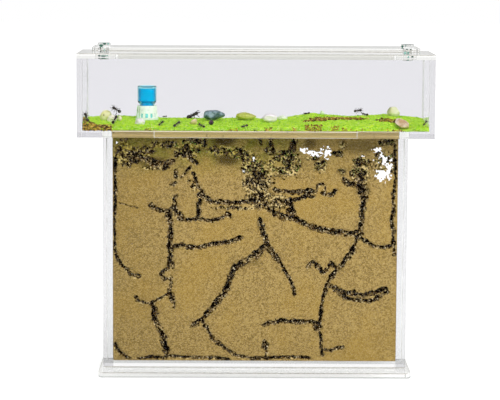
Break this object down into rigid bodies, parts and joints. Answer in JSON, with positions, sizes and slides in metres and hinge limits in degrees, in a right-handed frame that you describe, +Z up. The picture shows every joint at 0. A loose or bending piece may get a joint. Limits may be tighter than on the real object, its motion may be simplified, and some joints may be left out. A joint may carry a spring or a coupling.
{
  "type": "ant habitat",
  "caption": "Clear ant habitat: an upright sand nest between sheets on a base plate, with a wide shallow foraging box and lift-off lid across its top.",
  "frame": {"origin": "middle of the base plate's underside, on the surface that the habitat stands on", "axes": "+X to the right along the foraging box, +Y from the front panel to the rear panel, +Z up"},
  "size_m": [0.2, 0.05, 0.188],
  "materials": {
    "clear_acrylic": "clear polished acrylic sheet",
    "steel_mesh": "fine woven mesh",
    "tan_sand": "packed fine sand",
    "green_sand": "loose coloured sand",
    "brown_soil": "loose crumbs of soil",
    "milky_plastic": "milky translucent moulding",
    "clear_plastic": "clear thin moulding",
    "blue_water": "tinted water",
    "yellow_pebble": "tumbled stone",
    "rose_pebble": "tumbled stone",
    "small_rose_pebble": "tumbled stone",
    "white_pebble": "tumbled stone",
    "beige_chip": "tumbled stone",
    "dark_bead": "tumbled stone",
    "slate_pebble": "tumbled stone",
    "olive_pebble": "tumbled stone",
    "quartz_pebble": "tumbled stone",
    "pale_pebble": "tumbled stone",
    "green_chip": "tumbled stone",
    "lime_pebble": "tumbled stone",
    "brown_pebble": "tumbled stone"
  },
  "bodies": {
    "habitat": {"base_plate": "clear_acrylic", "nest_front_panel": "clear_acrylic", "nest_rear_panel": "clear_acrylic", "nest_left_strip": "clear_acrylic", "nest_right_strip": "clear_acrylic", "nest_foot_strip": "clear_acrylic", "arena_floor": "clear_acrylic", "arena_front_wall": "clear_acrylic", "arena_rear_wall": "clear_acrylic", "arena_left_wall": "clear_acrylic", "arena_right_wall": "clear_acrylic", "arena_top_frame": "clear_acrylic", "nest_sand": "tan_sand", "green_sand": "green_sand", "soil_heap": "brown_soil", "drinker_stand": "milky_plastic", "yellow_pebble": "yellow_pebble", "rose_pebble": "rose_pebble", "small_rose_pebble": "small_rose_pebble", "white_pebble": "white_pebble", "beige_chip": "beige_chip", "dark_bead": "dark_bead", "slate_pebble": "slate_pebble", "olive_pebble": "olive_pebble", "quartz_pebble": "quartz_pebble", "pale_pebble": "pale_pebble", "green_chip": "green_chip", "lime_pebble": "lime_pebble", "brown_pebble": "brown_pebble"},
    "lid": {"lid_plate": "clear_acrylic", "lid_locating_plate": "clear_acrylic"},
    "vent_left": {"vent_plug_left": "clear_acrylic", "vent_mesh_left": "steel_mesh"},
    "vent_right": {"vent_plug_right": "clear_acrylic", "vent_mesh_right": "steel_mesh"},
    "bottle": {"drinker_bottle": "clear_plastic", "drinker_water": "blue_water"}
  },
  "joints": [
    {"name": "lid_lift", "type": "slide", "parent": "habitat", "child": "lid", "axis": [0, 0, 1], "range_m": [0, 0.06]},
    {"name": "vent_left_pull", "type": "slide", "parent": "lid", "child": "vent_left", "axis": [0, 0, 1], "range_m": [0, 0.012]},
    {"name": "vent_right_pull", "type": "slide", "parent": "lid", "child": "vent_right", "axis": [0, 0, 1], "range_m": [0, 0.012]},
    {"name": "bottle_lift", "type": "slide", "parent": "habitat", "child": "bottle", "axis": [0, 0, 1], "range_m": [0, 0.012]}
  ]
}
